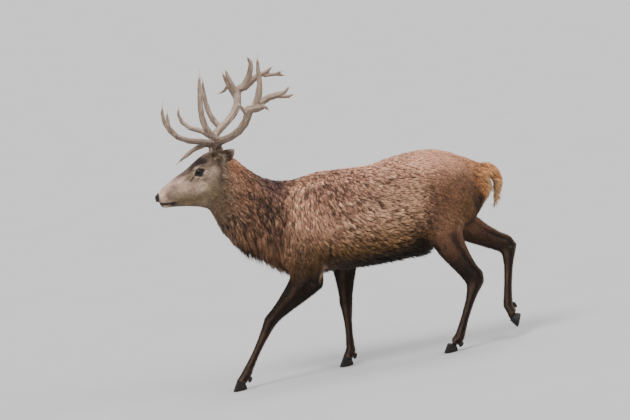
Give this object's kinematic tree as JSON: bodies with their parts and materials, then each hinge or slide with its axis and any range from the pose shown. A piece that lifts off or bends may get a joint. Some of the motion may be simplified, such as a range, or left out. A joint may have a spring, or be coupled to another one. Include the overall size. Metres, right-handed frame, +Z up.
{
  "type": "red deer stag",
  "caption": "Still life-size model of a red deer stag walking with a heavy neck mane and broad many-tined antlers; rests on three feet, the right hind foot just lifted.",
  "frame": {"origin": "centre of the bounding box in plan, at the level of the soles", "axes": "+Z up; the stag faces -X, so +X runs from its nose to its tail and is the longest extent; its left side faces -Y"},
  "size_m": [1.9394, 0.715, 1.8464],
  "materials": {
    "coat": "coarse reddish-brown summer-to-autumn coat, clumped",
    "face_coat": "short grey-brown hair, pale round the eye and muzzle, black nose pad",
    "leg_coat": "very short dark brown hair",
    "tail_coat": "orange-buff hair",
    "antler": "matt ridged bone, grey-brown with ivory tips",
    "horn": "worn black hoof horn",
    "eye": "wet polished dark brown"
  },
  "bodies": {
    "root": {"head": "face_coat", "neck": "coat", "trunk": "coat", "tail": "tail_coat", "ear_left": "face_coat", "ear_right": "face_coat", "eye_left": "eye", "eye_right": "eye", "foreleg_left_upper": "leg_coat", "foreleg_left_lower": "leg_coat", "foreleg_right_upper": "leg_coat", "foreleg_right_lower": "leg_coat", "hindleg_left_upper": "leg_coat", "hindleg_left_lower": "leg_coat", "hindleg_right_upper": "leg_coat", "hindleg_right_lower": "leg_coat", "claw_fore_left_outer": "horn", "claw_fore_left_inner": "horn", "claw_fore_right_outer": "horn", "claw_fore_right_inner": "horn", "claw_hind_left_outer": "horn", "claw_hind_left_inner": "horn", "claw_hind_right_outer": "horn", "claw_hind_right_inner": "horn", "dewclaw_fore_left_outer": "horn", "dewclaw_fore_left_inner": "horn", "dewclaw_fore_right_outer": "horn", "dewclaw_fore_right_inner": "horn", "dewclaw_hind_left_outer": "horn", "dewclaw_hind_left_inner": "horn", "dewclaw_hind_right_outer": "horn", "dewclaw_hind_right_inner": "horn", "antler_left_beam": "antler", "antler_left_brow": "antler", "antler_left_bez": "antler", "antler_left_trez": "antler", "antler_left_crown_palm": "antler", "antler_left_crown_tall": "antler", "antler_left_crown_rear": "antler", "antler_left_crown_rear_prong": "antler", "antler_left_crown_front_spur": "antler", "antler_left_crown_back_spur": "antler", "antler_right_beam": "antler", "antler_right_brow": "antler", "antler_right_bez": "antler", "antler_right_trez": "antler", "antler_right_crown_palm": "antler", "antler_right_crown_front": "antler", "antler_right_crown_front_prong": "antler", "antler_right_crown_hook": "antler", "antler_right_crown_tall": "antler", "antler_right_crown_rear": "antler", "antler_right_crown_rear_prong": "antler", "antler_right_crown_rear_fork": "antler"}
  },
  "joints": []
}
